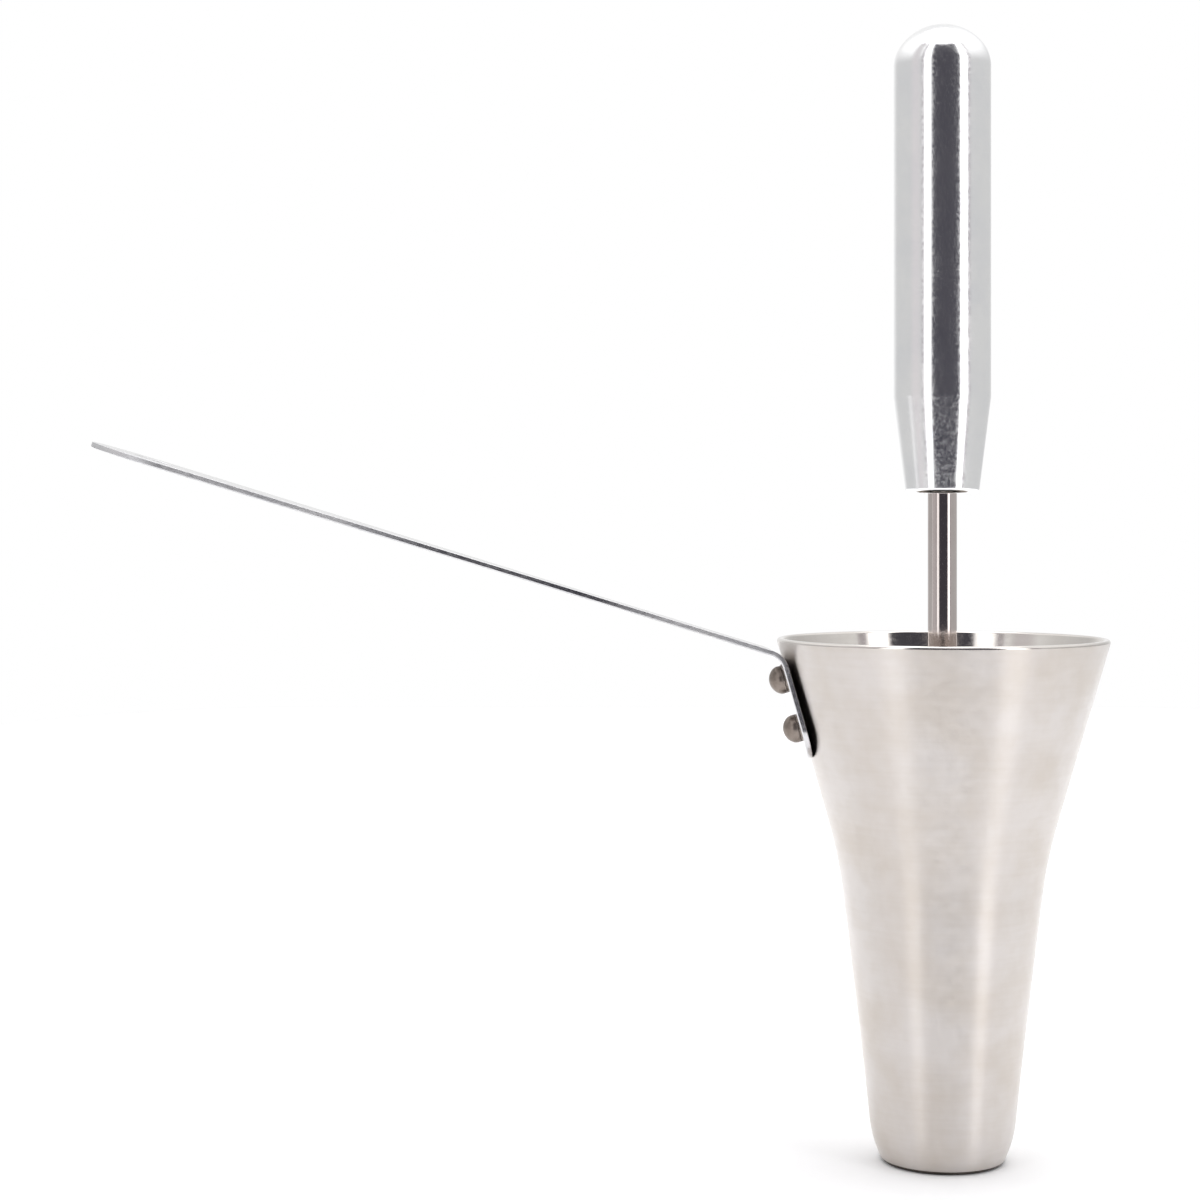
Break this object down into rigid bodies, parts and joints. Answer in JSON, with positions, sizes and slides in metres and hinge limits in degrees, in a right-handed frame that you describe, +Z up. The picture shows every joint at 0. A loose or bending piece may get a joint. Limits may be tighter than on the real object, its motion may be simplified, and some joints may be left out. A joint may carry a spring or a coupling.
{
  "type": "stoppered dispensing funnel",
  "caption": "Flared metal batter funnel with a riveted flat strip handle and a lift-out rod stopper with a round grip.",
  "frame": {"origin": "centre of the foot, in the plane that the funnel stands on", "axes": "+Z up along the funnel's axis, the handle reaches out towards -X, +Y across it"},
  "size_m": [0.2091, 0.0684, 0.235],
  "materials": {
    "funnel_steel": "satin, spun, fine marks round the axis",
    "handle_steel": "polished faces and edges",
    "rivet_steel": "dull",
    "grip_aluminium": "turned and polished, fine grain",
    "rod_steel": "polished",
    "plug_steel": "turned",
    "seal_silicone": "matte, translucent white",
    "screw_steel": "plain"
  },
  "bodies": {
    "cup": {"funnel_body": "funnel_steel", "handle_strip": "handle_steel", "rivet_upper": "rivet_steel", "rivet_lower": "rivet_steel"},
    "seal": {"stopper_seal": "seal_silicone"},
    "plunger": {"stopper_plug": "plug_steel", "plunger_rod": "rod_steel", "plunger_grip": "grip_aluminium", "stopper_screw": "screw_steel"}
  },
  "joints": [
    {"name": "plunger_lift", "type": "slide", "parent": "cup", "child": "seal", "axis": [0, 0, 1], "range_m": [0, 0.115]},
    {"name": "plunger_spin", "type": "hinge", "parent": "seal", "child": "plunger", "pos_m": [0, 0, 0.0024], "axis": [0, 0, 1], "continuous": true}
  ]
}
